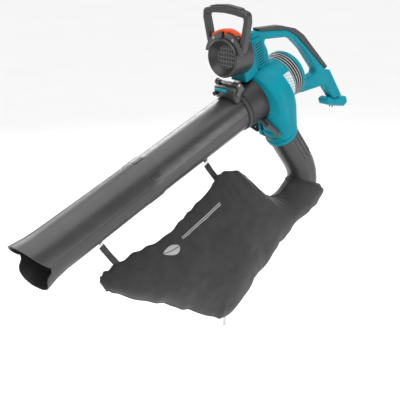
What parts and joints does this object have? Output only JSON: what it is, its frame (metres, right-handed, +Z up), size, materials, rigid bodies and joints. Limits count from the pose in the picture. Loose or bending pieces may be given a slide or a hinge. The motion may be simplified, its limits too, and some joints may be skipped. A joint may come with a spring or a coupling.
{
  "type": "leaf vacuum mulcher",
  "caption": "Hand-held electric leaf vacuum mulcher with a long suction tube, turning front handle, fan and motor, hinged controls and a hanging collection bag.",
  "frame": {"origin": "middle of the main handle's top grip, on the machine's middle plane", "axes": "-X towards the suction mouth, +Z up as the machine is held in use with its tube pointing down ahead, +Y to the left"},
  "size_m": [1.3472, 0.1965, 0.9853],
  "materials": {
    "grey_plastic": "fine spark texture",
    "teal_plastic": "satin moulding",
    "dark_plastic": "fine spark texture",
    "pale_plastic": "satin moulding",
    "orange_plastic": "satin moulding",
    "soft_rubber": "soft matte",
    "bag_fabric": "woven",
    "strap_fabric": "webbing",
    "steel": "plain",
    "copper": "lacquered windings",
    "label": "plain"
  },
  "bodies": {
    "machine": {"hub_drum": "grey_plastic", "hub_grille": "dark_plastic", "suction_tube_front": "grey_plastic", "suction_tube_rear": "grey_plastic", "tube_snap_1": "dark_plastic", "tube_snap_2": "dark_plastic", "tube_snap_3": "dark_plastic", "tube_seal": "soft_rubber", "tube_saddle": "grey_plastic", "safety_tab": "teal_plastic", "front_strap_lug": "dark_plastic", "rear_strap_lug": "dark_plastic", "front_strap_ring": "steel", "rear_strap_ring": "steel", "inlet_collar": "dark_plastic", "hinge_arm_left": "pale_plastic", "hinge_arm_right": "pale_plastic", "hinge_pin": "steel", "hinge_spring": "steel", "latch_pin": "steel", "fan_casing_front": "teal_plastic", "fan_casing_rear": "teal_plastic", "motor_housing": "teal_plastic", "vent_band": "pale_plastic", "vent_liner": "dark_plastic", "rating_plate": "label", "motor_stator": "steel", "front_bearing": "steel", "rear_bearing": "steel", "motor_end_cap": "teal_plastic", "handle_left_shell": "teal_plastic", "handle_right_shell": "teal_plastic", "hub_carrier": "teal_plastic", "soft_grip": "soft_rubber", "cable_foot": "teal_plastic", "mains_inlet": "dark_plastic", "discharge_tube": "grey_plastic", "discharge_ladder": "grey_plastic", "collection_bag": "bag_fabric", "front_strap": "strap_fabric", "rear_strap": "strap_fabric"},
    "rotor": {"motor_shaft": "steel", "impeller": "dark_plastic", "mulching_blade": "steel", "blade_nut": "steel", "motor_armature": "copper", "commutator": "copper"},
    "front_handle": {"u_handle": "grey_plastic", "u_grip_cover": "soft_rubber", "clamp_plate_left": "pale_plastic", "clamp_plate_right": "pale_plastic", "clamp_screw_left": "steel", "clamp_screw_right": "steel", "lever_pin": "steel"},
    "clamp_lever": {"clamp_lever": "orange_plastic"},
    "release_latch": {"release_latch": "pale_plastic"},
    "power_switch": {"power_switch": "dark_plastic"},
    "saddle_knob": {"saddle_knob": "dark_plastic"},
    "zip_pull": {"zip_pull": "steel"}
  },
  "joints": [
    {"name": "rotor_spin", "type": "hinge", "parent": "machine", "child": "rotor", "pos_m": [0.00041, 0, -0.17013], "axis": [0.9455, 0, 0.3256], "continuous": true},
    {"name": "front_handle_swivel", "type": "hinge", "parent": "machine", "child": "front_handle", "pos_m": [-0.18359, 0, -0.05698], "axis": [0.9994, 0, 0.0349], "range_deg": [-30, 30]},
    {"name": "clamp_lever_open", "type": "hinge", "parent": "front_handle", "child": "clamp_lever", "pos_m": [-0.18375, -0.05, 0.00506], "axis": [0.9994, 0, 0.0349], "range_deg": [0, 24]},
    {"name": "release_latch_press", "type": "hinge", "parent": "machine", "child": "release_latch", "pos_m": [-0.06822, -0.058, -0.26568], "axis": [0.9455, 0, 0.3256], "range_deg": [-8, 0], "stiffness_Nm_per_rad": 0.2, "springref_deg": 2.86},
    {"name": "power_switch_press", "type": "hinge", "parent": "machine", "child": "power_switch", "pos_m": [0.12557, 0, -0.02616], "axis": [0, 1, 0], "range_deg": [-5, 5], "stiffness_Nm_per_rad": 0.1},
    {"name": "saddle_knob_turn", "type": "hinge", "parent": "machine", "child": "saddle_knob", "pos_m": [-0.20965, 0.024, -0.16209], "axis": [0.9455, 0, 0.3256], "continuous": true},
    {"name": "zip_pull_swing", "type": "hinge", "parent": "machine", "child": "zip_pull", "pos_m": [-0.21414, -0.024, -0.86166], "axis": [0, 1, 0], "range_deg": [-35, 35]}
  ]
}
